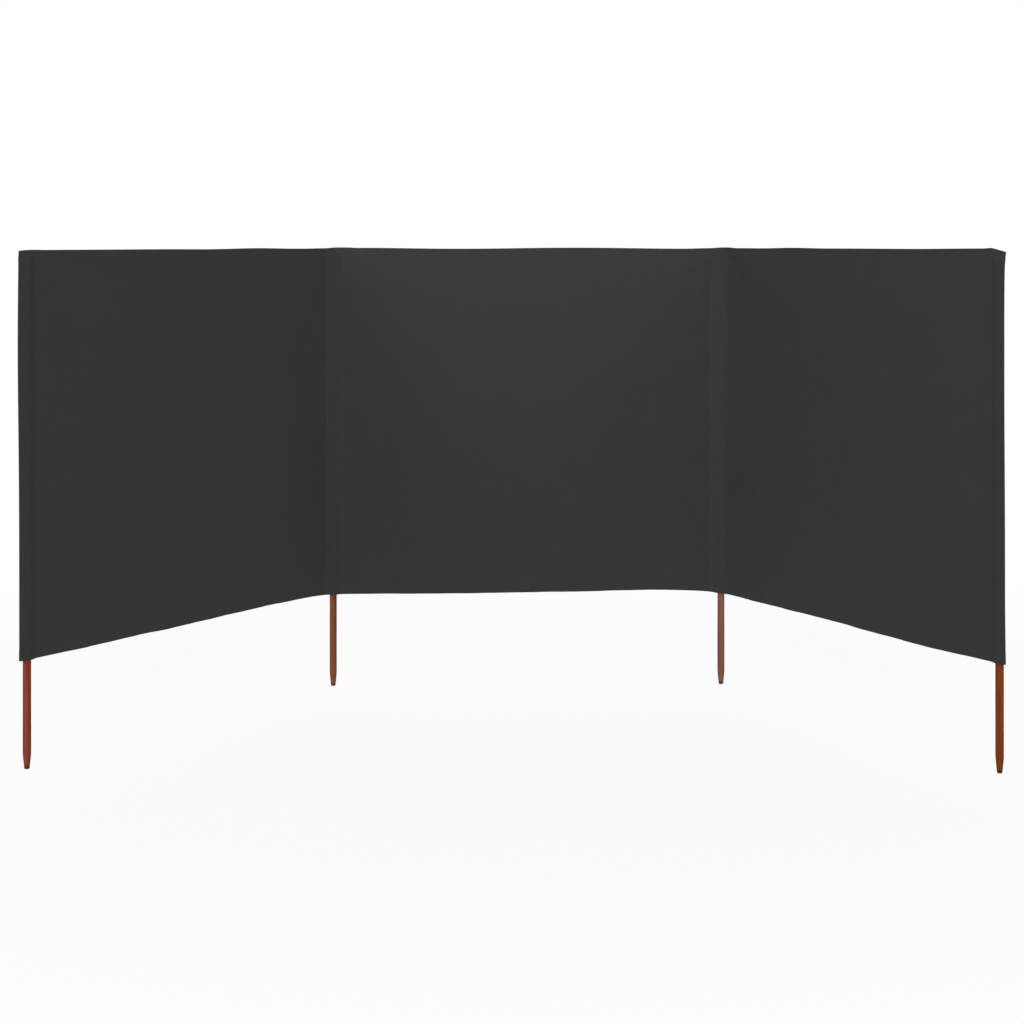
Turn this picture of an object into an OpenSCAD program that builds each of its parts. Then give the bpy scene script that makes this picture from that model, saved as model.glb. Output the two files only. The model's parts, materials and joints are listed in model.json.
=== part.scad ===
// Beach windbreak: three bays of cloth carried in sleeves on four round wooden poles.
// The origin is the middle of the left inner pole's blunt foot. +X runs along the middle
// bay to the right inner pole, +Y points away from the sheltered side and +Z is up.

/* [Poles] */
// Length of a pole, from its blunt foot to its top
pole_l = 1500; // [1300:10:2200]
// Diameter of a pole
pole_d = 24; // [18:0.5:36]
// Length of the tapered point at the foot
point_l = 45; // [20:1:120]
// Diameter of the blunt end of the point
point_end_d = 15; // [6:0.5:17]
// How round the taper is, where 1 is a straight cone
point_curve = 1.2; // [1:0.05:2]
// Chamfer round the top of a pole
pole_chamfer = 1.5; // [0.5:0.1:4]

/* [Cloth] */
// Distance between the axes of neighbouring poles
bay_w = 1333; // [600:1:2000]
// Height of the cloth at a pole, from its bottom edge to its top edge
cloth_h = 1190; // [500:5:1400]
// Thickness of the cloth
cloth_t = 1.2; // [0.6:0.1:3]
// Height of the folded hems
hem_h = 20; // [10:1:60]
// Thickness of a folded hem
hem_t = 2.4; // [1.2:0.1:6]
// How far a bay's top edge hangs below its ends at mid span
top_sag = 4; // [0:0.5:20]
// How far a bay's bottom edge rises above its ends at mid span
bottom_rise = 6; // [0:0.5:20]

/* [Sleeves] */
// Thickness of the cloth round a pole
sleeve_t = 1.2; // [0.6:0.1:3]
// Gap all round between a pole and its sleeve
sleeve_clearance = 0.4; // [0.2:0.1:2]
// Gap between an inner sleeve and the edge of a bay beside it
bay_clearance = 0.4; // [0.3:0.1:0.9]
// Thickness of the sewn top that closes a sleeve
sleeve_top_t = 2; // [1:0.1:5]
// How far the folded end of the cloth stands out from an outer sleeve's round
end_fold = 10; // [1:0.5:20]
// How far an outer sleeve's seam lies from the sleeve's round
seam_reach = 18; // [4:1:60]

/* [Set up] */
// Turn of the left bay towards the sheltered side, from straight
left_turn = 52.5; // [0:0.5:115]
// Turn of the right bay towards the sheltered side, from straight
right_turn = 60.5; // [0:0.5:115]

/* [Hidden] */
$fn = 64;

// Flat pieces that follow the taper of a point and the curve of a cloth edge
point_steps = 4;
edge_steps = 16;

pole_r = pole_d / 2;
sleeve_bore_r = pole_r + sleeve_clearance;
sleeve_r = sleeve_bore_r + sleeve_t;
cloth_top = pole_l + sleeve_top_t;
cloth_bottom = cloth_top - cloth_h;
// A bay's cloth runs from the inner sleeve's round to the other sleeve's round or seam
inner_edge = sleeve_r + bay_clearance;
outer_edge = bay_w - sleeve_r - seam_reach;
middle_edge = bay_w - inner_edge;

wood_left_outer = [0.52, 0.24, 0.18];
wood_left_inner = [0.49, 0.27, 0.20];
wood_right_inner = [0.51, 0.33, 0.27];
wood_right_outer = [0.50, 0.24, 0.12];
cloth_colour = [0.21, 0.21, 0.21];
hem_colour = [0.19, 0.19, 0.19];
sleeve_colour = [0.20, 0.20, 0.20];

// Radius of a point at a share s of its length, from the blunt end up
function point_r(s) =
    point_end_d / 2 + (pole_r - point_end_d / 2) * (1 - pow(1 - s, point_curve));

// Rise of a shallow arch at a share s of its span, 0 at the ends and 1 in the middle
function arch(s) = 4 * s * (1 - s);

// One curved edge of a strip of cloth, as points from one end to the other
function cloth_edge(x0, x1, z, rise) = [
    for (i = [0 : edge_steps])
        let (s = i / edge_steps)
        [x0 + (x1 - x0) * s, z + rise * arch(s)]
];

function reversed(points) = [for (i = [len(points) - 1 : -1 : 0]) points[i]];

// Places in the frame: a bay's own +X runs from its inner pole to its outer pole
module on_left_bay() {
    rotate([0, 0, 180 + left_turn]) children();
}

module on_right_bay() {
    translate([bay_w, 0, 0]) rotate([0, 0, -right_turn]) children();
}

module at_far_pole() {
    translate([bay_w, 0, 0]) children();
}

// A round pole with a tapered, blunt point at its foot
module pole(colour) {
    taper = [for (i = [0 : point_steps]) [point_r(i / point_steps), point_l * i / point_steps]];
    top = [[pole_r, pole_l - pole_chamfer], [pole_r - pole_chamfer, pole_l], [0, pole_l]];
    color(colour) rotate_extrude() polygon(concat([[0, 0]], taper, top));
}

// The round tunnel of cloth on an inner pole
module inner_sleeve() {
    color(sleeve_colour)
    translate([0, 0, cloth_bottom])
    linear_extrude(pole_l - cloth_bottom)
    difference() {
        circle(sleeve_r);
        circle(sleeve_bore_r);
    }
}

// The sewn top that closes an inner sleeve and hangs the cloth on the pole
module inner_sleeve_top() {
    color(hem_colour) translate([0, 0, pole_l]) cylinder(r = sleeve_r, h = sleeve_top_t);
}

// Outline of an outer sleeve: a round with the seam on the bay's side and the fold beyond
module outer_sleeve_outline() {
    root = sleeve_bore_r + sleeve_t / 2;
    circle(sleeve_r);
    polygon([
        [-sleeve_r - seam_reach, -hem_t / 2],
        [0, -root],
        [sleeve_r + end_fold, -hem_t / 2],
        [sleeve_r + end_fold, hem_t / 2],
        [0, root],
        [-sleeve_r - seam_reach, hem_t / 2],
    ]);
}

// The cloth folded back round an outer pole
module outer_sleeve() {
    color(sleeve_colour)
    translate([0, 0, cloth_bottom])
    linear_extrude(pole_l - cloth_bottom)
    difference() {
        outer_sleeve_outline();
        circle(sleeve_bore_r);
    }
}

// The sewn top that closes an outer sleeve and hangs the cloth on the pole
module outer_sleeve_top() {
    color(hem_colour)
    translate([0, 0, pole_l])
    linear_extrude(sleeve_top_t)
    outer_sleeve_outline();
}

// An upright strip of cloth of thickness t between two curved edges
module strip(low, high, t) {
    rotate([90, 0, 0])
    linear_extrude(t, center = true)
    polygon(concat(low, reversed(high)));
}

module bay_cloth(x0, x1) {
    color(cloth_colour)
    strip(
        cloth_edge(x0, x1, cloth_bottom + hem_h, bottom_rise),
        cloth_edge(x0, x1, cloth_top - hem_h, -top_sag),
        cloth_t
    );
}

module top_hem(x0, x1) {
    color(hem_colour)
    strip(
        cloth_edge(x0, x1, cloth_top - hem_h, -top_sag),
        cloth_edge(x0, x1, cloth_top, -top_sag),
        hem_t
    );
}

module bottom_hem(x0, x1) {
    color(hem_colour)
    strip(
        cloth_edge(x0, x1, cloth_bottom, bottom_rise),
        cloth_edge(x0, x1, cloth_bottom + hem_h, bottom_rise),
        hem_t
    );
}

module left_outer_pole() {
    on_left_bay() at_far_pole() pole(wood_left_outer);
}

module left_inner_pole() {
    pole(wood_left_inner);
}

module right_inner_pole() {
    at_far_pole() pole(wood_right_inner);
}

module right_outer_pole() {
    on_right_bay() at_far_pole() pole(wood_right_outer);
}

module left_outer_sleeve() {
    on_left_bay() at_far_pole() outer_sleeve();
}

module left_inner_sleeve() {
    inner_sleeve();
}

module right_inner_sleeve() {
    at_far_pole() inner_sleeve();
}

module right_outer_sleeve() {
    on_right_bay() at_far_pole() outer_sleeve();
}

module left_outer_sleeve_top() {
    on_left_bay() at_far_pole() outer_sleeve_top();
}

module left_inner_sleeve_top() {
    inner_sleeve_top();
}

module right_inner_sleeve_top() {
    at_far_pole() inner_sleeve_top();
}

module right_outer_sleeve_top() {
    on_right_bay() at_far_pole() outer_sleeve_top();
}

module left_bay_cloth() {
    on_left_bay() bay_cloth(inner_edge, outer_edge);
}

module middle_bay_cloth() {
    bay_cloth(inner_edge, middle_edge);
}

module right_bay_cloth() {
    on_right_bay() bay_cloth(inner_edge, outer_edge);
}

module left_bay_top_hem() {
    on_left_bay() top_hem(inner_edge, outer_edge);
}

module middle_bay_top_hem() {
    top_hem(inner_edge, middle_edge);
}

module right_bay_top_hem() {
    on_right_bay() top_hem(inner_edge, outer_edge);
}

module left_bay_bottom_hem() {
    on_left_bay() bottom_hem(inner_edge, outer_edge);
}

module middle_bay_bottom_hem() {
    bottom_hem(inner_edge, middle_edge);
}

module right_bay_bottom_hem() {
    on_right_bay() bottom_hem(inner_edge, outer_edge);
}

left_outer_pole();
left_inner_pole();
right_inner_pole();
right_outer_pole();
left_outer_sleeve();
left_inner_sleeve();
right_inner_sleeve();
right_outer_sleeve();
left_outer_sleeve_top();
left_inner_sleeve_top();
right_inner_sleeve_top();
right_outer_sleeve_top();
left_bay_cloth();
middle_bay_cloth();
right_bay_cloth();
left_bay_top_hem();
middle_bay_top_hem();
right_bay_top_hem();
left_bay_bottom_hem();
middle_bay_bottom_hem();
right_bay_bottom_hem();
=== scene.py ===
"""The looks of a beach windbreak: four wooden poles and three bays of dark, hemmed and stitched cloth."""

import json
import math

import bpy
import numpy as np
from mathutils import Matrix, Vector


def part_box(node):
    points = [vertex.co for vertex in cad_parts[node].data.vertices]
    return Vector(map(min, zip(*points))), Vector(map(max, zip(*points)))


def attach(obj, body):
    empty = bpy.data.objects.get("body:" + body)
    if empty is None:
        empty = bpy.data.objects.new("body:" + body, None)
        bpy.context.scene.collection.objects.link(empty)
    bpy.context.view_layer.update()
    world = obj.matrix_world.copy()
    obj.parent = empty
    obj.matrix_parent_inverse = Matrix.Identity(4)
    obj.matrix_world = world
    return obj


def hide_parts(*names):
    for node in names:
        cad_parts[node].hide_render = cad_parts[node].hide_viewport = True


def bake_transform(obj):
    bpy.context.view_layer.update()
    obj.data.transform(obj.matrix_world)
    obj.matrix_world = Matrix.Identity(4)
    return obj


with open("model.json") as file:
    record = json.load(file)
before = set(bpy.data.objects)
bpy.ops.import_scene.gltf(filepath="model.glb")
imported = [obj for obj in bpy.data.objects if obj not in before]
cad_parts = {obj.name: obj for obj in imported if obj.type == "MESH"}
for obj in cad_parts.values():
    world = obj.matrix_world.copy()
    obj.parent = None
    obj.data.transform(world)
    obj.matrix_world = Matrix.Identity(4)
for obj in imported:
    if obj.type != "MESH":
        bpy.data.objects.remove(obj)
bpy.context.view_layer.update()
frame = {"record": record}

MM = 0.001

# The cloth and its hems: the stitches' distance from the fold, the gap between layers, and the worn edge
CLOTH_T = 0.6 * MM
YARN_PITCH = 0.9 * MM
HEM_H = 20 * MM
HEM_STITCH = 18 * MM
HEM_GAP = 1.0 * MM
WORN_REACH = 2.5 * MM

# Sleeves: distances from the pole's axis to the seam and its stitches, the lap past the seam, the distance
# between lapped layers, the cloth's radius round the pole, and how much lower an inner sleeve's back is
SEAM = 32 * MM
SEAM_STITCH = 33.5 * MM
LAP = 8 * MM
LAYER = 0.8 * MM
WRAP_R = 13.4 * MM
STRIP_DROP = 0.4 * MM

# Distance from an inner pole's axis to the edge where an outer sheet meets the middle one
SPLIT = 60 * MM

# The fold at an end: how far it stands past the outer pole's axis, and in front of it
FOLD_REACH = {"left": 41 * MM, "right": 36.5 * MM}
FOLD_OUT = 14 * MM

# The closed top of a sleeve: half its thickness, its stitches, its flat height and the height that closes
SEAM_TOP_HALF = 1.3 * MM
TOP_STITCH = 5.5 * MM
FLAT_TOP = 6 * MM
DOME_H = 16 * MM
# Shares of an outer sleeve's top over which it thickens from the seam and thins to the fold
TOP_THICKENS = 0.2
TOP_THINS = 0.06

# How softly the cloth bends at the folds and seams, and in the valleys at the inner poles
FOLD_SOFTNESS = 3 * MM
VALLEY_SOFTNESS = 8 * MM

# Room for the turned hems round a pole, where it ends above a hem, and how soon it fades in a closed top
HEM_ROOM_FRONT = 0.6 * MM
HEM_ROOM_BACK = 2.0 * MM
HEM_ROOM_END = HEM_H + 16 * MM
ROOM_FADE = 0.12

# The groove that stitches draw in the cloth
GROOVE_DEPTH = 0.45 * MM
GROOVE_WIDTH = 1.3 * MM

# The cloth's bottom edge: its height over the solids' edge, and how much more it lifts at an end's fold
BOTTOM_LIFT = 1.5 * MM
END_LIFT = 5 * MM

# The cloth's top edge: its heights over the solids' edge at the poles and between them, the reach of the
# peaks at the poles, how far right of an inner pole a peak lies, and where the ripples are at full size
TOP_AT_INNER = 0.8 * MM
TOP_AT_OUTER = {"left": -1.2 * MM, "right": 0.8 * MM}
TOP_IN_SPAN = -2.0 * MM
PEAK_REACH = 60 * MM
PEAK_SHIFT = 25 * MM
RIPPLES_FULL = 0.14

# The droop of the top corner at an end, and the flare of the fold below it
CORNER_DROOP = {"left": 3 * MM, "right": 13 * MM}
DROOP_POWER = {"left": 2.5, "right": 1.1}
DROOP_START = SEAM + 5 * MM
DROOP_REACH = {"left": 30 * MM, "right": 23 * MM}
FOLD_FLARES = {"left": 0.5 * MM, "right": 7.5 * MM}
FLARE_H = 22 * MM

# Waves in the cloth: their lengths and their sizes
DRAPE = ((0.47, 0.29, 0.17), (2.2 * MM, 1.2 * MM, 0.5 * MM))
WAVES_ALONG = ((0.61, 0.37), (0.8 * MM, 0.5 * MM))
WAVES_UP = ((0.53, 0.31), (0.8 * MM, 0.5 * MM))
BOTTOM_HEM_WAVES = ((0.19, 0.11, 0.047), (1.2 * MM, 0.8 * MM, 0.35 * MM))
TOP_HEM_WAVES = ((0.23, 0.12, 0.05), (0.8 * MM, 0.5 * MM, 0.35 * MM))
SEAM_WAVES = ((0.23, 0.14, 0.09), (1.3 * MM, 0.9 * MM, 0.6 * MM))
SEAM_PUCKERS = ((0.047, 0.033), (0.35 * MM, 0.25 * MM))
STRIP_WAVES = ((0.34, 0.19, 0.08), (0.25 * MM, 0.2 * MM, 0.12 * MM))

# Other relief of the cloth: its belly, the slack of a sleeve's back, and folds fanning out from the corners
BELLY = 5 * MM
HELD_REACH = 0.2
STRIP_SLACK = 0.5 * MM
FAN_TOP = 2.6 * MM
FAN_BOTTOM = 1.2 * MM
FAN_FOLDS = 8
FAN_REACH = 0.3

# Mesh spacing: along a path in plan, across the columns and down the rows
PATH_STEP = 0.5 * MM
FINE_STEP = 2.2 * MM
COARSE_STEP = 6.5 * MM
MIDDLE_STEP = COARSE_STEP * 0.8
FINE_REACH = 0.14
ROW_STEP = 12 * MM
NEAR_EDGE = 46 * MM

# Thread, with the four rings of a stitch as shares of its length and its radius
STITCH_PITCH = 5.0 * MM
STITCH_LENGTH = 3.7 * MM
THREAD_R = 0.36 * MM
THREAD_SIDES = 5
STITCH_PLACES = np.array([0, 0.28, 0.72, 1])
STITCH_LIFTS = np.array([-0.9, 0.55, 0.55, -0.9])
STITCH_WIDTHS = np.array([0.7, 1, 1, 0.7])

# Poles: the point's sizes are those of the solids
POLE_SIDES = 56
POINT_L = 45 * MM
POINT_END_R = 7.5 * MM
POINT_CURVE = 1.2
END_ROUND = 1.2 * MM
# How far up from its end the foot is darkened with painted shade
FOOT_SHADE_H = 16 * MM
TOP_DOME_H = 10 * MM
TOP_DOME_DROP = 15.5 * MM
POINT_RINGS = 18
SHAFT_RINGS = 150

# A pole's unevenness, as shares of its radius: waves along it, its oval, and the most that it reaches
POLE_WAVES = ((0.31, 0.13), (0.004, 0.003))
POLE_OVAL = 0.004
POLE_MAX = 1.008

# The point's facets: how many, where they run out, and their width and depth as shares
FACETS = 7
FACETS_FADE = 36 * MM
FACETS_END = 50 * MM
FACET_WIDTH = 0.75
FACET_DEPTH = 0.8

# Seeds of the cloth's waves
LEFT_SEED = 21
MIDDLE_SEED = 22
RIGHT_SEED = 23
STRIP_SEED_STEP = 50

SHARP_ANGLE = math.radians(50)

# The camera stands where the photograph was taken from
CAMERA_PLACE = (0.4744, -6.8617, 1.5340)
CAMERA_TURN = (math.radians(90), 0, math.radians(-1.16))
CAMERA_LENS = 70.21
CAMERA_SHIFT_Y = -0.26724

# Light: the lamps' places, sizes and powers, all aimed near the middle of the object
CENTRE = (0.6, -0.4, 0.8)
AMBIENT = 0.16
LAMPS = {
    "left_softbox": ((-5.2, -4.0, 3.2), 3.0, 150),
    "right_softbox": ((6.2, -4.1, 3.2), 3.0, 96),
    "front_softbox": ((0.5, -21.0, 8.0), 8.0, 2690),
    "back_softbox": ((1.0, 6.0, 4.0), 4.0, 320),
}

# The floor: its grey, its glow near the object and far from it, and where the one turns into the other
FLOOR_HALF = 30
FLOOR_GREY = 0.7
GLOW_NEAR = 0.94
GLOW_FAR = 1.0
GLOW_START = 1.5
GLOW_END = 4.5


def unit(v):
    return v / np.hypot(*v)


def smoothstep(low, high, x):
    t = np.clip((x - low) / (high - low), 0, 1)
    return t * t * (3 - 2 * t)


def waves(x, kind, rng):
    """A sum of sines, with random phases. The kind gives their wavelengths and their sizes."""
    lengths, sizes = kind
    phases = rng.uniform(0, 2 * math.pi, len(lengths))
    return sum(a * np.sin(2 * math.pi * x / w + p) for w, a, p in zip(lengths, sizes, phases))


def skewed_arch(x, peak):
    """0 at x = 0 and 1, and about 1 at the peak, which lies nearer to x = 0."""
    x = np.clip(x, 0, 1)
    return x / peak * np.exp(1 - x / peak) * (1 - x) ** 0.3


def mesh_object(name, points, faces, material):
    mesh = bpy.data.meshes.new(name)
    mesh.from_pydata(points, [], faces)
    mesh.materials.append(material)
    mesh.shade_smooth()
    mesh.set_sharp_from_angle(angle=SHARP_ANGLE)
    piece = bpy.data.objects.new(name, mesh)
    bpy.context.scene.collection.objects.link(piece)
    return piece


# Places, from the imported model
def pole_axis(node):
    low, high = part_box(node)
    return np.array([(low[0] + high[0]) / 2, (low[1] + high[1]) / 2])


AXIS = {
    f"{side}_{place}": pole_axis(f"{side}_{place}_pole")
    for side in ("left", "right")
    for place in ("inner", "outer")
}
POLE_LOW, POLE_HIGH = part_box("left_inner_pole")
POLE_R = (POLE_HIGH[0] - POLE_LOW[0]) / 2
POLE_L = POLE_HIGH[2]
CLOTH_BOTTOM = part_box("left_inner_sleeve")[0][2] + BOTTOM_LIFT
CLOTH_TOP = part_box("left_inner_sleeve_top")[1][2]
SHELTER = (AXIS["left_outer"] + AXIS["right_outer"]) / 2


class Bay:
    """A bay's own axes in plan: s runs from one pole to the next, and front faces the sheltered side."""

    def __init__(self, start, end):
        self.start = start
        self.width = np.hypot(*(end - start))
        self.along = unit(end - start)
        across = np.array([-self.along[1], self.along[0]])
        self.front = across * np.sign(across @ (SHELTER - start))
        self.front_is_left = self.along[0] * self.front[1] - self.along[1] * self.front[0] > 0

    def plan(self, s, out):
        return self.start + np.outer(s, self.along) + np.outer(out, self.front)


BAYS = {
    "left": Bay(AXIS["left_inner"], AXIS["left_outer"]),
    "middle": Bay(AXIS["left_inner"], AXIS["right_inner"]),
    "right": Bay(AXIS["right_inner"], AXIS["right_outer"]),
}


class Nodes:
    """Short forms for the nodes of one material."""

    def __init__(self, name):
        self.material = bpy.data.materials.new(name)
        self.material.use_nodes = True
        self.tree = self.material.node_tree
        self.shader = self.tree.nodes["Principled BSDF"]

    def new(self, kind, **settings):
        node = self.tree.nodes.new(kind)
        for name, value in settings.items():
            setattr(node, name, value)
        return node

    def put(self, value, socket):
        if isinstance(value, bpy.types.NodeSocket):
            self.tree.links.new(value, socket)
        else:
            socket.default_value = value

    def math(self, operation, *values):
        node = self.new("ShaderNodeMath", operation=operation)
        for value, socket in zip(values, node.inputs):
            self.put(value, socket)
        return node.outputs[0]

    def vector(self, operation, a, b):
        node = self.new("ShaderNodeVectorMath", operation=operation)
        self.put(a, node.inputs[0])
        self.put(b, node.inputs[1])
        return node.outputs["Value" if operation == "LENGTH" else "Vector"]

    def noise(self, place, stretch, detail=2.0, roughness=0.5):
        """Noise from 0 to 1 at a place that is first multiplied by stretch."""
        node = self.new("ShaderNodeTexNoise")
        self.put(self.vector("MULTIPLY", place, stretch), node.inputs["Vector"])
        node.inputs["Scale"].default_value = 1
        node.inputs["Detail"].default_value = detail
        node.inputs["Roughness"].default_value = roughness
        return node.outputs["Fac"]

    def blend(self, share, dark, light):
        node = self.new("ShaderNodeMix", data_type="RGBA")
        self.put(share, node.inputs["Factor"])
        self.put(dark, node.inputs[6])
        self.put(light, node.inputs[7])
        return node.outputs[2]

    def spread(self, value, low, high, start=0.0, end=1.0):
        """A value from start to end moved to low to high."""
        node = self.new("ShaderNodeMapRange", interpolation_type="SMOOTHSTEP")
        self.put(value, node.inputs["Value"])
        for name, number in (("From Min", start), ("From Max", end), ("To Min", low), ("To Max", high)):
            node.inputs[name].default_value = number
        return node.outputs[0]

    def bump(self, height, strength, distance):
        node = self.new("ShaderNodeBump")
        node.inputs["Strength"].default_value = strength
        node.inputs["Distance"].default_value = distance
        self.put(height, node.inputs["Height"])
        self.put(node.outputs[0], self.shader.inputs["Normal"])


def slot_colour(slot):
    colours = {m["slot"]: m["base_color"] for m in frame["record"]["materials"]}
    return np.array(colours[slot])


def shade(colour, factor):
    return (*np.clip(colour * factor, 0, 1), 1.0)


# Materials
def cloth_material():
    """Plain woven cloth: crossing threads, uneven yarn, soft mottling, and paler worn folds."""
    n = Nodes("woven_cloth")
    base = slot_colour("cloth")
    flat = n.new("ShaderNodeAttribute", attribute_name="flat").outputs["Vector"]
    worn = n.new("ShaderNodeAttribute", attribute_name="worn").outputs["Fac"]
    axes = n.new("ShaderNodeSeparateXYZ")
    n.put(flat, axes.inputs[0])
    waves_x = n.math("SINE", n.math("MULTIPLY", axes.outputs["X"], math.pi / YARN_PITCH))
    waves_y = n.math("SINE", n.math("MULTIPLY", axes.outputs["Y"], math.pi / YARN_PITCH))
    crossing = n.math("MULTIPLY", waves_x, waves_y)
    crown = n.math("POWER", n.math("ABSOLUTE", crossing), 0.6)
    yarn_up = n.noise(flat, (900, 14, 1), detail=1)
    yarn_across = n.noise(flat, (14, 900, 1), detail=1)
    mottle = n.noise(flat, (9, 9, 1), detail=4, roughness=0.6)
    lint = n.noise(flat, (260, 260, 1), detail=2)
    tone = n.math("MULTIPLY_ADD", crossing, 0.16, 0.5)
    for value, size in ((yarn_up, 0.5), (yarn_across, 0.5), (mottle, 0.35), (lint, 0.2)):
        tone = n.math("ADD", tone, n.math("MULTIPLY", n.math("SUBTRACT", value, 0.5), size))
    tone = n.math("MULTIPLY_ADD", n.math("MULTIPLY", worn, lint), 0.5, tone)
    n.put(n.blend(tone, shade(base, 0.78), shade(base, 1.22)), n.shader.inputs["Base Color"])
    n.put(n.spread(mottle, 0.82, 0.95), n.shader.inputs["Roughness"])
    n.shader.inputs["Specular IOR Level"].default_value = 0.12
    n.shader.inputs["Sheen Weight"].default_value = 0.03
    n.shader.inputs["Sheen Roughness"].default_value = 0.5
    height = n.math("ADD", crown, n.math("MULTIPLY", n.math("ADD", yarn_up, yarn_across), 0.5))
    n.bump(height, 0.6, 0.14 * MM)
    return n.material


def thread_material():
    """Twisted sewing thread."""
    n = Nodes("sewing_thread")
    base = slot_colour("thread")
    place = n.new("ShaderNodeTexCoord").outputs["Object"]
    twist = n.noise(place, (2500, 2500, 2500), detail=2)
    n.put(n.blend(twist, shade(base, 0.7), shade(base, 1.3)), n.shader.inputs["Base Color"])
    n.put(n.spread(twist, 0.55, 0.75), n.shader.inputs["Roughness"])
    n.shader.inputs["Specular IOR Level"].default_value = 0.3
    n.bump(twist, 0.4, 0.1 * MM)
    return n.material


def wood_material(slot, seed):
    """Stained softwood: year rings round an off-centre heart, fibres along the pole, streaks and bands that
    also paint shade on a pole's side, and a foot darkened with painted shade.
    """
    n = Nodes(slot)
    base = slot_colour(slot)
    rng = np.random.default_rng(seed)
    heart = (*rng.uniform(-9, 9, 2) * MM, rng.uniform(0, 5))
    on_pole = n.new("ShaderNodeTexCoord").outputs["Object"]
    place = n.vector("ADD", on_pole, heart)
    wander = n.noise(place, (45, 45, 2.2), detail=2)
    from_heart = n.vector("LENGTH", n.vector("MULTIPLY", place, (1, 1, 0)), (0, 0, 0))
    ring = n.math("MULTIPLY_ADD", wander, 9.0, n.math("MULTIPLY", from_heart, 520))
    ring = n.math("FRACT", ring)
    late_wood = n.math("POWER", ring, 3.0)
    fibre = n.noise(place, (1300, 1300, 26), detail=3, roughness=0.6)
    # Streaks and bands are partly grain and partly painted shade: a pole's seed shifts them so that the
    # side of the pole turned from the light is darker
    streak = n.noise(place, (240, 240, 5), detail=3)
    band = n.noise(place, (85, 85, 2.5), detail=2)
    stain = n.noise(place, (60, 60, 9), detail=3)
    tone = n.math("MULTIPLY_ADD", late_wood, -0.30, 0.62)
    for value, size in ((fibre, 0.45), (streak, 0.7), (band, 1.3), (stain, 0.45)):
        tone = n.math("ADD", tone, n.math("MULTIPLY", n.math("SUBTRACT", value, 0.5), size))
    height = n.new("ShaderNodeSeparateXYZ")
    n.put(on_pole, height.inputs[0])
    # Painted shade: the wood darkens towards the foot's end
    tone = n.math("ADD", tone, n.spread(height.outputs["Z"], -0.9, 0, end=FOOT_SHADE_H))
    n.put(n.blend(tone, shade(base, 0.50), shade(base, 1.40)), n.shader.inputs["Base Color"])
    n.put(n.spread(fibre, 0.55, 0.75), n.shader.inputs["Roughness"])
    n.shader.inputs["Specular IOR Level"].default_value = 0.04
    n.bump(n.math("ADD", fibre, n.math("MULTIPLY", late_wood, 0.6)), 0.35, 0.25 * MM)
    return n.material


CLOTH = cloth_material()
THREAD = thread_material()


# Poles
def pole_rings():
    """Heights and radii of a pole from the middle of its foot to the middle of its hidden top."""
    turn = np.radians(np.linspace(0, 90, 5))
    foot_z = END_ROUND * (1 - np.cos(turn))
    foot_r = POINT_END_R - END_ROUND + END_ROUND * np.sin(turn)
    share = np.linspace(0.06, 1, POINT_RINGS)
    point_z = POINT_L * share
    point_r = POINT_END_R + (POLE_R - POINT_END_R) * (1 - (1 - share) ** POINT_CURVE)
    shaft_top = POLE_L - TOP_DOME_DROP - TOP_DOME_H
    shaft_z = np.linspace(POINT_L + 4 * MM, shaft_top - 2 * MM, SHAFT_RINGS)
    up = np.radians(np.linspace(0, 88, 9))
    dome_z = shaft_top + TOP_DOME_H * np.sin(up)
    dome_r = POLE_R * np.cos(up)
    z = np.concatenate([foot_z, point_z, shaft_z, dome_z])
    r = np.concatenate([foot_r, point_r, np.full_like(shaft_z, POLE_R), dome_r])
    return z, r


def make_pole(node, body, seed):
    """A turned pole with a lightly faceted point, a little uneven all along."""
    rng = np.random.default_rng(seed)
    z, r = pole_rings()
    turn = np.linspace(0, 2 * math.pi, POLE_SIDES, endpoint=False)
    uneven = 1 + waves(z, POLE_WAVES, rng)[:, None]
    uneven = uneven + POLE_OVAL * np.cos(2 * turn + rng.uniform(0, 6))[None, :]
    on_point = 1 - smoothstep(FACETS_FADE, FACETS_END, z)
    facet = math.pi / FACETS
    across = (turn + rng.uniform(0, 1)) % (2 * facet) - facet
    least = math.cos(facet * FACET_WIDTH)
    flat_cut = least / np.maximum(np.cos(across), least)
    uneven = uneven * (1 - on_point[:, None] * (1 - flat_cut)[None, :] * FACET_DEPTH)
    radius = np.minimum(r[:, None] * uneven, POLE_R * POLE_MAX)
    rings = np.stack([
        radius * np.cos(turn), radius * np.sin(turn), np.repeat(z[:, None], POLE_SIDES, 1)
    ], 2)
    count = len(z)
    index = np.arange(count * POLE_SIDES).reshape(count, POLE_SIDES)
    right = np.roll(index, -1, 1)
    sides = np.stack([index[:-1], right[:-1], right[1:], index[1:]], 2).reshape(-1, 4)
    faces = [*sides.tolist(), index[0][::-1].tolist(), index[-1].tolist()]
    pole = mesh_object(f"{node}_turned", rings.reshape(-1, 3), faces, wood_material(f"{node}_wood", seed))
    pole.location = (*pole_axis(node), 0)
    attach(pole, body)
    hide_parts(node)
    return pole


# The left inner and right outer poles' seeds set their wood's dark bands on the sides turned from the
# light: painted shade
POLES = {
    "left_outer": make_pole("left_outer_pole", "left_bay", seed=11),
    "left_inner": make_pole("left_inner_pole", "middle_bay", seed=18),
    "right_inner": make_pole("right_inner_pole", "middle_bay", seed=13),
    "right_outer": make_pole("right_outer_pole", "right_bay", seed=33),
}


# The way a sheet takes in plan
def line(a, b):
    """Points from a up to but not including b."""
    a, b = np.asarray(a, float), np.asarray(b, float)
    count = max(2, round(np.hypot(*(b - a)) / PATH_STEP))
    return a + np.outer(np.arange(count) / count, b - a)


def arc(centre, radius, start, end):
    count = max(2, round(abs(end - start) * radius / PATH_STEP))
    turn = start + (end - start) * np.arange(count) / count
    return centre + radius * np.stack([np.cos(turn), np.sin(turn)], 1)


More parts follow.
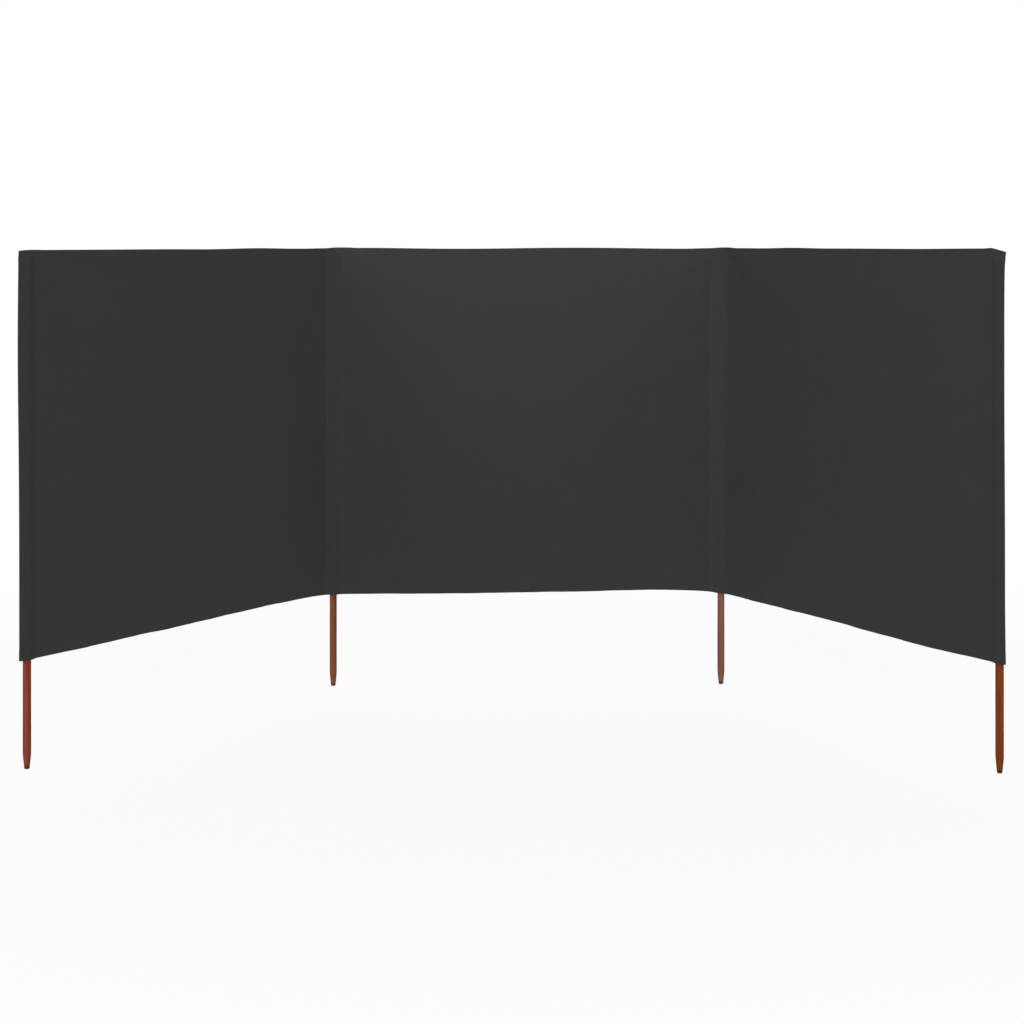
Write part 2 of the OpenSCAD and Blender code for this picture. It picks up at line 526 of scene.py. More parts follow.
def softened(points, softness):
    """The points of a path with its corners rounded off and its ends kept."""
    reach = round(4 * softness / PATH_STEP)
    weights = np.exp(-0.5 * (np.arange(-reach, reach + 1) * PATH_STEP / softness) ** 2)
    weights /= weights.sum()
    before = 2 * points[0] - points[reach:0:-1]
    after = 2 * points[-1] - points[-2:-reach - 2:-1]
    padded = np.concatenate([before, points, after])
    return np.stack([np.convolve(padded[:, i], weights, "valid") for i in range(2)], 1)


def graded(places, steps):
    """Column places along a path whose spacing changes evenly between the given steps."""
    fine = np.linspace(places[0], places[-1], 4000)
    count = np.concatenate([[0], np.cumsum(np.diff(fine) / np.interp(fine[1:], places, steps))])
    return np.interp(np.linspace(0, count[-1], round(count[-1]) + 1), count, fine)


class Path:
    """A sheet's way in plan. It holds each column's place where its sleeve is open and where the top
    seam closes it, its distance s along the bay at the bottom and at the top, its room for hems where
    the sleeve is open and where it is closed, its share in the fold's shift, and 1 where it is the
    bay's front or -1 where it lies behind and follows the front."""

    def __init__(self, opened, closed, s_low, s_high, room, top_room, shift, side):
        self.opened, self.closed = opened, closed
        self.s_low, self.s_high = s_low, s_high
        self.room, self.top_room, self.shift, self.side = room, top_room, shift, side
        steps = np.hypot(*np.diff(self.opened, axis=0).T)
        self.arc = np.concatenate([[0], np.cumsum(steps)])
        self.length = self.arc[-1]

    def arc_at(self, s):
        """The first place along the path where it is s along the bay."""
        return self.arc[np.argmax(self.s_low >= s)]

    def columns(self, arcs):
        def pick(values):
            return np.interp(arcs, self.arc, values)

        def pick_plan(points):
            return np.stack([pick(points[:, 0]), pick(points[:, 1])], 1)

        def to_left(points):
            tangent = pick_plan(np.gradient(points, axis=0))
            tangent /= np.hypot(*tangent.T)[:, None]
            return np.stack([-tangent[:, 1], tangent[:, 0]], 1)

        return {
            "opened": pick_plan(self.opened),
            "closed": pick_plan(self.closed),
            "opened_left": to_left(self.opened),
            "closed_left": to_left(self.closed),
            "s_low": pick(self.s_low),
            "s_high": pick(self.s_high),
            "room": pick(self.room),
            "top_room": pick(self.top_room),
            "shift": pick(self.shift),
            "side": pick(self.side),
        }


def closed_line(pole, a, b, q, out):
    """The line of an inner sleeve's top seam, with q from one seam to the other."""
    middle = pole + SEAM * (np.outer((1 - q) ** 3, a) + np.outer(q ** 3, b))
    return middle + np.outer(out * np.sin(math.pi * q), unit(a + b))


def front_of_inner_pole(bay, from_middle):
    """From the middle sheet to the seam beside it, and straight across the pole to the seam on this bay."""
    seam = bay.start + SEAM * from_middle
    before = line(bay.start + SPLIT * from_middle, seam)
    across = line(seam, bay.plan(SEAM, 0)[0])
    q = np.linspace(0, 1, len(across), endpoint=False)
    top = closed_line(bay.start, from_middle, bay.along, q, SEAM_TOP_HALF)
    s = np.concatenate([np.linspace(-SPLIT, -SEAM, len(before), endpoint=False), SEAM * (2 * q - 1)])
    none, front = np.zeros_like(s), np.ones_like(s)
    return np.concatenate([before, across]), np.concatenate([before, top]), s, s, none, none, none, front


def round_outer_pole(bay, fold):
    """From the seam over the front of the outer pole to the fold, and round its back to the cut edge."""
    tip = np.array([fold, FOLD_OUT])
    tip_turn = math.atan2(FOLD_OUT, fold)
    tip_spread = math.acos(WRAP_R / np.hypot(*tip))
    seam_turn = math.pi - math.acos(WRAP_R / SEAM)

    def on_pole(turn):
        return WRAP_R * np.array([math.cos(turn), math.sin(turn)])

    front = np.concatenate([
        line((-SEAM, 0), on_pole(seam_turn)),
        arc((0, 0), WRAP_R, seam_turn, tip_turn + tip_spread),
        line(on_pole(tip_turn + tip_spread), tip),
    ])
    back = np.concatenate([
        line(tip, on_pole(tip_turn - tip_spread)),
        arc((0, 0), WRAP_R, tip_turn - tip_spread, -seam_turn),
        line(on_pole(-seam_turn), (-SEAM, 0)),
    ])
    q = np.linspace(0, 1, len(front), endpoint=False)
    r = 1 - np.linspace(0, 1, len(back), endpoint=False)
    back[:, 1] -= LAYER * (1 - r)
    lap = line((-SEAM, -LAYER), (-SEAM - LAP, -LAYER))

    def top_seam(share):
        """The middle of the flat top seam and half its thickness, from the seam at 0 to the fold at 1."""
        x = -SEAM + share * (fold + SEAM)
        thins = np.sqrt(np.clip((1 - share) / TOP_THINS, 0, 1))
        half = SEAM_TOP_HALF * smoothstep(0, TOP_THICKENS, share) * thins
        return x, FOLD_OUT * smoothstep(0, fold, x), half

    front_x, front_y, front_half = top_seam(q)
    back_x, back_y, back_half = top_seam(r)
    opened = np.concatenate([front, back, lap])
    closed_x = np.concatenate([front_x, back_x, lap[:, 0]])
    closed_y = np.concatenate([front_y + front_half, back_y - back_half - LAYER * (1 - r), lap[:, 1]])
    room = np.concatenate([
        HEM_ROOM_FRONT * np.sin(math.pi * q),
        HEM_ROOM_BACK - (HEM_ROOM_BACK - HEM_ROOM_FRONT) * r,
        np.full(len(lap), HEM_ROOM_BACK),
    ])
    top_room = np.concatenate([
        np.zeros_like(q),
        HEM_ROOM_BACK * np.exp(-r / ROOM_FADE),
        np.full(len(lap), HEM_ROOM_BACK),
    ])
    shift = smoothstep(0, fold, opened[:, 0])
    side = np.where(np.arange(len(opened)) < len(front), 1.0, -1.0)
    return (
        bay.plan(bay.width + opened[:, 0], opened[:, 1]),
        bay.plan(bay.width + closed_x, closed_y),
        bay.width + opened[:, 0],
        bay.width + closed_x,
        room, top_room, shift, side,
    )


def outer_bay_path(bay, from_middle, fold):
    """Over the inner pole, along the bay and round the outer pole, with softer bends at the inner pole."""
    run = line(bay.plan(SEAM, 0)[0], bay.plan(bay.width - SEAM, 0)[0])
    s = SEAM + (bay.width - 2 * SEAM) * np.arange(len(run)) / len(run)
    none, front = np.zeros_like(s), np.ones_like(s)
    parts = [
        front_of_inner_pole(bay, from_middle),
        (run, run, s, s, none, none, none, front),
        round_outer_pole(bay, fold),
    ]
    opened, closed, s, *others = (np.concatenate(values) for values in zip(*parts))
    tight = smoothstep(0.3, 0.5, s / bay.width)[:, None]

    def rounded(points):
        wide = softened(points, VALLEY_SOFTNESS)
        return wide + tight * (softened(points, FOLD_SOFTNESS) - wide)

    return Path(rounded(opened), rounded(closed), s, *others)


def middle_bay_path(bay):
    run = line(bay.plan(SPLIT, 0)[0], bay.plan(bay.width - SPLIT, 0)[0])
    run = np.concatenate([run, bay.plan(bay.width - SPLIT, 0)])
    s = np.linspace(SPLIT, bay.width - SPLIT, len(run))
    none, front = np.zeros_like(s), np.ones_like(s)
    return Path(run, run, s, s, none, none, none, front)


def back_strip_path(bay, middle, from_middle):
    """Round the back of an inner pole, from a lap behind the middle bay to a lap behind this bay."""
    pole = bay.start
    turn_a = math.atan2(from_middle[1], from_middle[0])
    turn_b = math.atan2(bay.along[1], bay.along[0])
    front_turn = (turn_b - turn_a + math.pi) % (2 * math.pi) - math.pi
    way = -np.sign(front_turn)
    back_turn = front_turn + way * 2 * math.pi
    lean = way * math.acos(WRAP_R / SEAM)
    start, end = turn_a + lean, turn_a + back_turn - lean
    tangent_a = pole + WRAP_R * np.array([math.cos(start), math.sin(start)])
    tangent_b = pole + WRAP_R * np.array([math.cos(end), math.sin(end)])
    behind_a = pole - LAYER * middle.front
    behind_b = pole - LAYER * bay.front
    seam_a, seam_b = behind_a + SEAM * from_middle, behind_b + SEAM * bay.along
    lap_a = line(behind_a + (SEAM + LAP) * from_middle, seam_a)
    lap_b = line(seam_b, behind_b + (SEAM + LAP) * bay.along)
    round_back = np.concatenate([
        line(seam_a, tangent_a), arc(pole, WRAP_R, start, end), line(tangent_b, seam_b)
    ])
    q = np.linspace(0, 1, len(round_back), endpoint=False)
    closed = closed_line(pole, from_middle, bay.along, q, -SEAM_TOP_HALF)
    closed += np.outer(1 - q, behind_a - pole) + np.outer(q, behind_b - pole)
    s = np.concatenate([
        np.linspace(-SEAM - LAP, -SEAM, len(lap_a), endpoint=False),
        SEAM * (2 * q - 1),
        np.linspace(SEAM, SEAM + LAP, len(lap_b)),
    ])
    room = np.full_like(s, HEM_ROOM_BACK)
    from_seam = np.clip(1 - np.abs(s) / SEAM, 0, 1) / 2
    return Path(
        softened(np.concatenate([lap_a, round_back, lap_b]), FOLD_SOFTNESS),
        softened(np.concatenate([lap_a, closed, lap_b]), FOLD_SOFTNESS),
        s, s, room, room * np.exp(-from_seam / ROOM_FADE), np.zeros_like(s), -np.ones_like(s),
    )


# Rows of a sheet
def groove(away):
    """How far stitches draw the cloth in, at a distance from them."""
    return GROOVE_DEPTH * np.exp(-((away / GROOVE_WIDTH) ** 2))


def hem_rows():
    """Distances from the folded edge, and depths behind the front, from the cut edge to the front."""
    turn = HEM_GAP / 2
    flap = np.array([HEM_H, HEM_STITCH, 14 * MM, 9 * MM, 4.5 * MM, turn])
    bend = np.radians([150, 120, 90, 60, 30])
    beside = np.array([-4, -1.6, 0, 1.6, 4]) * MM
    front = np.concatenate([
        [turn, 2 * MM, 3.7 * MM, TOP_STITCH, 8 * MM, 11 * MM], HEM_STITCH + beside, [28 * MM, 36 * MM]
    ])
    distance = np.concatenate([flap, turn - turn * np.sin(bend), front])
    depth = np.concatenate([
        groove(flap - HEM_STITCH) / 2 - HEM_GAP,
        -turn + turn * np.cos(bend),
        -groove(front - HEM_STITCH),
    ])
    return distance, depth, len(flap), len(flap) + len(bend)


class Rows:
    """The rows of a sheet, from the top hem's cut edge over its fold and down to the bottom hem's cut edge.
    Each row lies at low + share * (high - low) + shift, at its depth behind the front."""

    def __init__(self):
        distance, depth, self.flap_rows, self.first_front = hem_rows()
        height = CLOTH_TOP - CLOTH_BOTTOM
        count = round((height - 2 * NEAR_EDGE) / ROW_STEP)
        share = np.linspace(1, 0, count)
        self.share = np.concatenate([np.ones_like(distance), share, np.zeros_like(distance)])
        self.shift = np.concatenate([-distance, NEAR_EDGE * (1 - 2 * share), distance[::-1]])
        self.depth = np.concatenate([depth, np.zeros(count), depth[::-1]])
        self.last_front = len(self.share) - 1 - self.first_front
        nominal = CLOTH_BOTTOM + self.share * height + self.shift
        steps = np.hypot(np.diff(nominal), np.diff(self.depth))
        self.flat = np.concatenate([[0], np.cumsum(steps)])
        self.length = self.flat[-1]
        folds = [np.argmax(nominal), np.argmin(nominal)]
        from_fold = np.min([np.abs(self.flat - self.flat[i]) for i in folds], axis=0)
        self.worn = np.exp(-from_fold / WORN_REACH)

    def front_row(self, distance, from_top):
        """The row on the front that lies this far from the top or the bottom edge."""
        target = -distance if from_top else distance
        rows = np.arange(self.first_front, self.last_front + 1)
        on_edge = rows[self.share[rows] == (1 if from_top else 0)]
        return on_edge[np.argmin(np.abs(self.shift[on_edge] - target))]

    def hem_row(self, distance, from_top):
        """The row on a hem's turned edge that lies this far from the fold."""
        rows = np.arange(self.flap_rows)
        if not from_top:
            rows = len(self.share) - 1 - rows
        return rows[np.argmin(np.abs(np.abs(self.shift[rows]) - distance))]


ROWS = Rows()


# The edges of the cloth
def from_poles(bay, s):
    """Distance to the nearer pole of the bay."""
    return np.minimum(np.abs(s), np.abs(bay.width - s))


def ripple(size, crest, length, middle, reach):
    """A wave along an edge that has a crest at one place and fades away from another."""
    def height(s):
        return size * np.cos(2 * math.pi * (s - crest) / length) * np.exp(-((s - middle) / reach) ** 2)

    return height


def middle_ripple(s):
    return 1.8 * MM * np.cos(2 * math.pi * (s - 0.04) / 0.79)


def right_top_rise(x):
    return 1.8 * MM * smoothstep(0, 0.25, x) + 2.7 * MM * smoothstep(0.7, 0.97, x)


def right_bottom_rise(x):
    return 1.2 * MM * np.sin(math.pi * x) ** 0.3 - 6.6 * MM * np.exp(-((x - 0.74) / 0.16) ** 2)


def left_fold_bow(z):
    return 5.6 * MM * np.exp(-((z - 1.23) / 0.33) ** 2)


def right_fold_bow(z):
    return 2.0 * MM * (1 - smoothstep(0.33, 0.5, z)) - 3.5 * MM * np.exp(-((z - 1.2) / 0.35) ** 2)


TOP_RIPPLES = {
    "left": ripple(1.6 * MM, 0.38, 0.52, 0.38, 0.3),
    "middle": middle_ripple,
    "right": ripple(1.3 * MM, 0.41, 0.38, 0.35, 0.2),
}
TOP_RISES = {"left": np.zeros_like, "middle": np.zeros_like, "right": right_top_rise}
BOTTOM_RISES = {
    "left": lambda x: 10.2 * MM * skewed_arch(x, 0.22),
    "middle": lambda x: 11 * MM * skewed_arch(1 - x, 0.18),
    "right": right_bottom_rise,
}
FOLD_BOWS = {"left": left_fold_bow, "right": right_fold_bow}


def pole_peak(height, away):
    """How much higher the top edge is near a pole than in the span, at a distance from the pole."""
    return (height - TOP_IN_SPAN) * (1 - smoothstep(POLE_R, PEAK_REACH + POLE_R, away))


def top_edge(name, s):
    """Height of the top edge: level in the span, higher at the poles, and low at an end's corner."""
    bay = BAYS[name]
    share = np.clip(s / bay.width, 0, 1)
    rippled = smoothstep(SEAM, RIPPLES_FULL, from_poles(bay, s)) * TOP_RIPPLES[name](s)
    from_start = np.abs(s + (PEAK_SHIFT if name == "left" else -PEAK_SHIFT))
    edge = CLOTH_TOP + TOP_IN_SPAN + rippled + TOP_RISES[name](share) + pole_peak(TOP_AT_INNER, from_start)
    if name == "middle":
        return edge + pole_peak(TOP_AT_INNER, bay.width + PEAK_SHIFT - s)
    past_pole = np.maximum(s - bay.width, 0) * DROOP_REACH[name] / FOLD_REACH[name]
    from_droop = DROOP_START + np.minimum(s - bay.width, 0) + past_pole
    to_corner = np.clip(from_droop / (DROOP_START + DROOP_REACH[name]), 0, 1)
    droop = CORNER_DROOP[name] * to_corner ** DROOP_POWER[name]
    return edge + pole_peak(TOP_AT_OUTER[name], np.maximum(bay.width - s, 0)) - droop


def bottom_edge(name, s):
    """Height of the bottom edge, which lifts a little towards the fold at an end."""
    bay = BAYS[name]
    edge = CLOTH_BOTTOM + BOTTOM_RISES[name](np.clip(s / bay.width, 0, 1))
    if name == "middle":
        return edge
    return edge + END_LIFT * smoothstep(bay.width - SEAM, bay.width + FOLD_REACH[name], s)


def fold_shift(name, z, high):
    """How far the fold at the end of a bay stands out further than at its foot."""
    if name == "middle":
        return np.zeros_like(z)
    return FOLD_BOWS[name](z) + FOLD_FLARES[name] * np.exp(-(high - z) / FLARE_H)


# The relief of the cloth: how far it stands out from a flat sheet
def bay_relief(name, seed):
    """A bay's belly, its drape and waves, the creases beside its seams and the folds from its corners."""
    bay = BAYS[name]

    def relief(s, z, low, high):
        rng = np.random.default_rng(seed)
        from_a, from_b = np.maximum(s - SEAM, 0), np.maximum(bay.width - SEAM - s, 0)
        up = np.clip((z - low) / (high - low), 0, 1)
        held = smoothstep(0, HELD_REACH, from_a) * smoothstep(0, HELD_REACH, from_b)
        arch = np.sin(math.pi * np.clip(s / bay.width, 0, 1))
        belly = BELLY * arch * (0.4 + 0.6 * np.sin(math.pi * up))
        drape = waves(s + 0.05 * up, DRAPE, rng) * (0.3 + 0.7 * (1 - up) ** 2)
        broad = waves(s + 0.6 * z, WAVES_ALONG, rng) + waves(z - 0.4 * s, WAVES_UP, rng)
        hems = np.exp(-(z - low) / 0.05) * waves(s, BOTTOM_HEM_WAVES, rng)
        hems = hems + np.exp(-(high - z) / 0.04) * waves(s, TOP_HEM_WAVES, rng)
        total = held * (belly + drape + broad + hems)
        for away in (from_a, from_b):
            near = smoothstep(0, 0.025, away) * np.exp(-away / 0.08)
            total = total + near * waves(z + 0.35 * away, SEAM_WAVES, rng)
            pucker = smoothstep(0, 0.006, away) * np.exp(-away / 0.018)
            total = total + pucker * waves(z, SEAM_PUCKERS, rng)
            for down, size in ((high - z, FAN_TOP), (z - low, FAN_BOTTOM)):
                reach = np.hypot(away, down)
                turn = np.arctan2(down, away + 1e-9)
                fan = np.sin(turn * FAN_FOLDS + rng.uniform(0, 6)) * smoothstep(0.03, 0.15, reach)
                total = total + size * fan * np.exp(-reach / FAN_REACH) * smoothstep(0, 0.05, away)
        return total - groove(s - SEAM_STITCH) - groove(bay.width - SEAM_STITCH - s)

    return relief


def strip_relief(front_relief, seed):
    """A strip's laps follow the cloth in front of them, and between them it hangs a little slack."""

    def relief(s, z, low, high):
        rng = np.random.default_rng(seed)
        slack = np.cos(0.5 * math.pi * np.clip(s / SEAM, -1, 1))
        return front_relief(s, z, low, high) - slack * (waves(z, STRIP_WAVES, rng) + STRIP_SLACK)

    return relief


# Sheets
def grid_normals(points):
    across = np.gradient(points, axis=1)
    down = np.gradient(points, axis=0)
    normals = np.cross(across, down)
    return normals / np.linalg.norm(normals, axis=2, keepdims=True)


class Sheet:
    """A sheet of cloth as a grid of rows and columns over its middle surface."""

    def __init__(self, name, path, arcs, low, high, relief, faces_left):
        columns = path.columns(arcs)
        low, high = low(columns["s_low"]), high(columns["s_high"])
        z = low + ROWS.share[:, None] * (high - low) + ROWS.shift[:, None]
        closing = smoothstep(high - FLAT_TOP - DOME_H, high - FLAT_TOP, z)

        def between(opened, closed):
            return opened + closing[..., None] * (closed - opened)

        outward = between(columns["opened_left"], columns["closed_left"])
        outward = outward / np.linalg.norm(outward, axis=2, keepdims=True) * (1 if faces_left else -1)
        at_hem = 1 - smoothstep(HEM_H, HEM_ROOM_END, np.minimum(high - z, z - low))
        room = columns["room"] + closing * (columns["top_room"] - columns["room"])
        out = ROWS.depth[:, None] + room * at_hem + columns["side"] * relief(columns["s_low"], z, low, high)
        xy = between(columns["opened"], columns["closed"]) + out[..., None] * outward
        xy = xy + (columns["shift"] * fold_shift(name, z, high))[..., None] * BAYS[name].along
        self.points = np.concatenate([xy, z[..., None]], 2)
        self.flat = np.stack(np.broadcast_arrays(arcs[None, :], ROWS.flat[:, None], 0.0), 2)
        self.worn = np.broadcast_to(ROWS.worn[:, None], z.shape)
        self.s = columns["s_low"]
        self.arcs = arcs
        if not faces_left:
            self.points, self.flat = self.points[:, ::-1], self.flat[:, ::-1]
            self.s, self.arcs = self.s[::-1], self.arcs[::-1]
        self.normals = grid_normals(self.points)
        self.size = (path.length, ROWS.length)

    def make(self, name):
        rows, columns = self.points.shape[:2]
        half = self.normals * CLOTH_T / 2
        layers = [(self.points + half).reshape(-1, 3), (self.points - half).reshape(-1, 3)]
        index = np.arange(rows * columns).reshape(rows, columns)
        front = np.stack([index[:-1, :-1], index[:-1, 1:], index[1:, 1:], index[1:, :-1]], 2).reshape(-1, 4)
        back = front[:, ::-1] + rows * columns
        rim = np.concatenate([index[0, :-1], index[:-1, -1], index[-1, :0:-1], index[:0:-1, 0]])
        ahead = np.roll(rim, -1)
        edge = np.stack([ahead, rim, rim + rows * columns, ahead + rows * columns], 1)
        faces = np.concatenate([front, back, edge]).tolist()
        piece = mesh_object(name, np.concatenate(layers), faces, CLOTH)
        flat = piece.data.attributes.new("flat", "FLOAT_VECTOR", "POINT")
        flat_places = np.tile(self.flat.reshape(-1, 3), (2, 1)).astype(np.float32)
        flat.data.foreach_set("vector", flat_places.ravel())
        worn = piece.data.attributes.new("worn", "FLOAT", "POINT")
        worn.data.foreach_set("value", np.tile(self.worn.ravel(), 2).astype(np.float32))
        return piece

    def along_row(self, row, s_from, s_to):
        """The cloth's surface along a row, between two places along the bay on its front."""
        there = (self.s >= s_from) & (self.s <= s_to)
        return self.points[row, there], self.normals[row, there]

    def down_column(self, arc_place):
        """The cloth's surface down its front at a place along its path."""
        column = np.argmin(np.abs(self.arcs - arc_place))
        rows = slice(ROWS.first_front + 1, ROWS.last_front)
        return self.points[rows, column], self.normals[rows, column]


# Stitching
def stitches(surface):
    """Rings of points for a row of stitches that dip into the cloth at both ends."""
    points, normals = surface
    steps = np.linalg.norm(np.diff(points, axis=0), axis=1)
    place = np.concatenate([[0], np.cumsum(steps)])
    count = round(place[-1] / STITCH_PITCH)
    starts = (np.arange(count) + 0.5) * place[-1] / count - STITCH_LENGTH / 2
    at = starts[:, None] + STITCH_LENGTH * STITCH_PLACES

    def pick(values):
        return np.stack([np.interp(at, place, values[:, i]) for i in range(3)], 2)

    up = pick(normals)
    lift = CLOTH_T / 2 + THREAD_R * STITCH_LIFTS
    middle = pick(points) + up * lift[:, None]
    ahead = pick(points)
    ahead = (ahead[:, -1] - ahead[:, 0])[:, None, :]
    side = np.cross(np.broadcast_to(ahead, up.shape), up)
    side /= np.linalg.norm(side, axis=2, keepdims=True)
    turn = np.linspace(0, 2 * math.pi, THREAD_SIDES, endpoint=False)
    radius = THREAD_R * STITCH_WIDTHS[:, None, None]
    ring = np.cos(turn)[:, None] * side[:, :, None, :] + np.sin(turn)[:, None] * up[:, :, None, :]
    return middle[:, :, None, :] + radius * ring


def make_stitching(name, surfaces):
    rings = np.concatenate([stitches(surface) for surface in surfaces])
    count, along = rings.shape[:2]
    index = np.arange(count * along * THREAD_SIDES).reshape(count, along, THREAD_SIDES)
    beside = np.roll(index, -1, 2)
    sides = np.stack([index[:, :-1], index[:, 1:], beside[:, 1:], beside[:, :-1]], 3).reshape(-1, 4)
    faces = sides.tolist() + index[:, 0].tolist() + index[:, -1, ::-1].tolist()
    piece = mesh_object(name, rings.reshape(-1, 3), faces, THREAD)
    return piece


def hems_in_front(sheet, s_from, s_to):
    """The lines of stitches along a sheet's top and bottom hems, on its front."""
    rows = [ROWS.front_row(HEM_STITCH, from_top) for from_top in (True, False)]
    return [sheet.along_row(row, s_from, s_to) for row in rows]


def hems_behind(sheet, s_from, s_to):
    """The same lines on the turned edges of the hems, behind the sheet."""
    rows = [ROWS.hem_row(HEM_STITCH, from_top) for from_top in (True, False)]
    return [sheet.along_row(row, s_from, s_to) for row in rows]


def outer_bay(name, seed):
    """An outer bay's sheet, the back of its inner sleeve, and the stitches on both."""
    bay, middle = BAYS[name], BAYS["middle"]
    from_middle = middle.along if name == "left" else -middle.along
    own_relief, middle_relief = bay_relief(name, seed), bay_relief("middle", MIDDLE_SEED)

    def on_middle(s):
        return -s if name == "left" else middle.width + s

    def low(s):
        return np.where(s < 0, bottom_edge("middle", on_middle(s)), bottom_edge(name, s))

    def high(s):
        return np.where(s < 0, top_edge("middle", on_middle(s)), top_edge(name, s))

    def relief(s, z, low, high):
        return np.where(s < 0, middle_relief(on_middle(s), z, low, high), own_relief(s, z, low, high))

    path = outer_bay_path(bay, from_middle, FOLD_REACH[name])
    valley, run_end = path.arc_at(SEAM), path.arc_at(bay.width - SEAM)
    arcs = graded(
        (0, valley, valley + FINE_REACH, run_end - FINE_REACH, run_end, path.length),
        (FINE_STEP, FINE_STEP, COARSE_STEP, COARSE_STEP, FINE_STEP, FINE_STEP),
    )
    sheet = Sheet(name, path, arcs, low, high, relief, bay.front_is_left)
    strip_path = back_strip_path(bay, middle, from_middle)
    strip_arcs = np.linspace(0, strip_path.length, round(strip_path.length / FINE_STEP))
    strip = Sheet(
        name, strip_path, strip_arcs, low, lambda s: high(s) - STRIP_DROP,
        strip_relief(relief, seed + STRIP_SEED_STEP), not bay.front_is_left,
    )
    cloth = sheet.make(f"{name}_bay_sheet")
    band = strip.make(f"{name}_inner_sleeve_back")
    lap_edge = SEAM + LAP
    lines = hems_in_front(sheet, -SPLIT, bay.width + FOLD_REACH[name])
    lines += hems_in_front(strip, -lap_edge, lap_edge)
    lines += hems_behind(sheet, -SPLIT, -lap_edge)
    lines += hems_behind(sheet, lap_edge, bay.width - lap_edge)
    top_row = ROWS.front_row(TOP_STITCH, True)
    lines += [
        sheet.along_row(top_row, -SEAM, SEAM),
        sheet.along_row(top_row, bay.width - SEAM, bay.width + FOLD_REACH[name]),
        strip.along_row(top_row, -SEAM, SEAM),
        sheet.down_column(path.arc_at(-SEAM_STITCH)),
        sheet.down_column(path.arc_at(SEAM_STITCH)),
        sheet.down_column(path.arc_at(bay.width - SEAM_STITCH)),
        sheet.down_column(path.length - LAP + SEAM_STITCH - SEAM),
        strip.down_column(strip_path.arc_at(-SEAM_STITCH)),
        strip.down_column(strip_path.arc_at(SEAM_STITCH)),
    ]
    thread = make_stitching(f"{name}_bay_stitching", lines)
    end = (*bay.plan(SEAM, 0)[0], CLOTH_TOP)
    for piece in (cloth, band, thread):
        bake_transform(piece)
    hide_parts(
        f"{name}_bay_cloth", f"{name}_bay_top_hem", f"{name}_bay_bottom_hem",
        f"{name}_outer_sleeve", f"{name}_outer_sleeve_top",
    )
    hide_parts(f"{name}_inner_sleeve", f"{name}_inner_sleeve_top")


def middle_bay(seed):
    """The middle bay's sheet and its stitches."""
    bay = BAYS["middle"]
    path = middle_bay_path(bay)
    arcs = graded(
        (0, FINE_REACH, path.length - FINE_REACH, path.length),
        (FINE_STEP, MIDDLE_STEP, MIDDLE_STEP, FINE_STEP),
    )
    sheet = Sheet(
        "middle", path, arcs,
        lambda s: bottom_edge("middle", s), lambda s: top_edge("middle", s),
        bay_relief("middle", seed), bay.front_is_left,
    )
    cloth = sheet.make("middle_bay_sheet")
    lines = hems_in_front(sheet, 0, bay.width) + hems_behind(sheet, 0, bay.width)
    thread = make_stitching("middle_bay_stitching", lines)
    for piece in (cloth, thread):
        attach(piece, "middle_bay")
    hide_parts("middle_bay_cloth", "middle_bay_top_hem", "middle_bay_bottom_hem")


outer_bay("left", LEFT_SEED)
middle_bay(MIDDLE_SEED)
outer_bay("right", RIGHT_SEED)


# Floor, light and camera
def seen_directly(tree):
    """1 for a ray that shows the background itself, and 0 for one that only carries light."""
    rays = tree.nodes.new("ShaderNodeLightPath")
    total = rays.outputs["Is Camera Ray"]
    for name in ("Is Glossy Ray", "Is Transmission Ray"):
        node = tree.nodes.new("ShaderNodeMath")
        node.operation = "MAXIMUM"
        tree.links.new(total, node.inputs[0])
        tree.links.new(rays.outputs[name], node.inputs[1])
        total = node.outputs[0]
    return total


def make_world(ambient):
    world = bpy.data.worlds.new("studio")
    bpy.context.scene.world = world
    world.use_nodes = True
    tree = world.node_tree
    strength = tree.nodes.new("ShaderNodeMapRange")
    strength.inputs["To Min"].default_value = ambient
    strength.inputs["To Max"].default_value = 1
    tree.links.new(seen_directly(tree), strength.inputs["Value"])
    background = tree.nodes["Background"]
    background.inputs["Color"].default_value = (1, 1, 1, 1)
    tree.links.new(strength.outputs[0], background.inputs["Strength"])


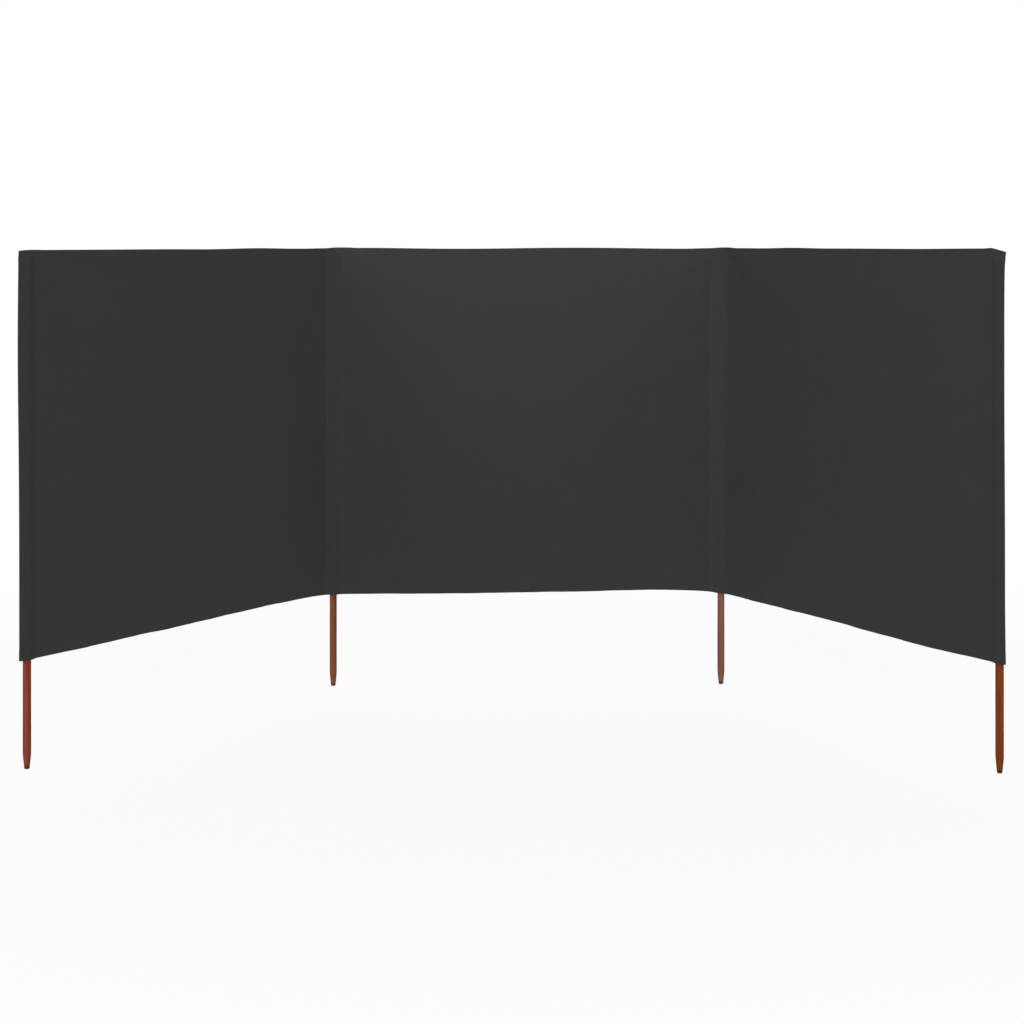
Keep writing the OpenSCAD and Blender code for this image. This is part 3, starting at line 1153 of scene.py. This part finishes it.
def make_floor():
    """A pale floor that reads white and keeps a soft shadow."""
    material = bpy.data.materials.new("studio_floor")
    material.use_nodes = True
    tree = material.node_tree
    tree.nodes.clear()
    matt = tree.nodes.new("ShaderNodeBsdfDiffuse")
    matt.inputs["Color"].default_value = (FLOOR_GREY, FLOOR_GREY, FLOOR_GREY, 1)
    glow = tree.nodes.new("ShaderNodeEmission")
    place = tree.nodes.new("ShaderNodeTexCoord")
    away = tree.nodes.new("ShaderNodeVectorMath")
    away.operation = "LENGTH"
    tree.links.new(place.outputs["Object"], away.inputs[0])
    glow_share = tree.nodes.new("ShaderNodeMapRange")
    glow_share.interpolation_type = "SMOOTHSTEP"
    glow_share.inputs["From Min"].default_value = GLOW_START
    glow_share.inputs["From Max"].default_value = GLOW_END
    glow_share.inputs["To Min"].default_value = GLOW_NEAR
    glow_share.inputs["To Max"].default_value = GLOW_FAR
    tree.links.new(away.outputs["Value"], glow_share.inputs["Value"])
    share = tree.nodes.new("ShaderNodeMath")
    share.operation = "MULTIPLY"
    tree.links.new(seen_directly(tree), share.inputs[0])
    tree.links.new(glow_share.outputs[0], share.inputs[1])
    mix = tree.nodes.new("ShaderNodeMixShader")
    tree.links.new(share.outputs[0], mix.inputs["Fac"])
    tree.links.new(matt.outputs[0], mix.inputs[1])
    tree.links.new(glow.outputs[0], mix.inputs[2])
    output = tree.nodes.new("ShaderNodeOutputMaterial")
    tree.links.new(mix.outputs[0], output.inputs["Surface"])
    half = FLOOR_HALF
    corners = [(-half, -half, 0), (half, -half, 0), (half, half, 0), (-half, half, 0)]
    floor = mesh_object("studio_floor", corners, [(0, 1, 2, 3)], material)
    floor.location = (CENTRE[0], CENTRE[1], 0)


def make_lamp(name, place, target, size, power):
    lamp = bpy.data.lights.new(name, "AREA")
    lamp.shape = "DISK"
    lamp.size = size
    lamp.energy = power
    holder = bpy.data.objects.new(name, lamp)
    holder.location = place
    holder.rotation_mode = "QUATERNION"
    holder.rotation_quaternion = (Vector(target) - Vector(place)).to_track_quat("-Z", "Y")
    bpy.context.scene.collection.objects.link(holder)


def make_camera():
    camera = bpy.data.cameras.new("photo_view")
    camera.lens = CAMERA_LENS
    camera.shift_y = CAMERA_SHIFT_Y
    holder = bpy.data.objects.new("photo_view", camera)
    holder.location = CAMERA_PLACE
    holder.rotation_euler = CAMERA_TURN
    bpy.context.scene.collection.objects.link(holder)
    bpy.context.scene.camera = holder


make_world(AMBIENT)
make_floor()
for name, (place, size, power) in LAMPS.items():
    make_lamp(name, place, CENTRE, size, power)
make_camera()
bpy.context.scene.view_settings.view_transform = "Standard"
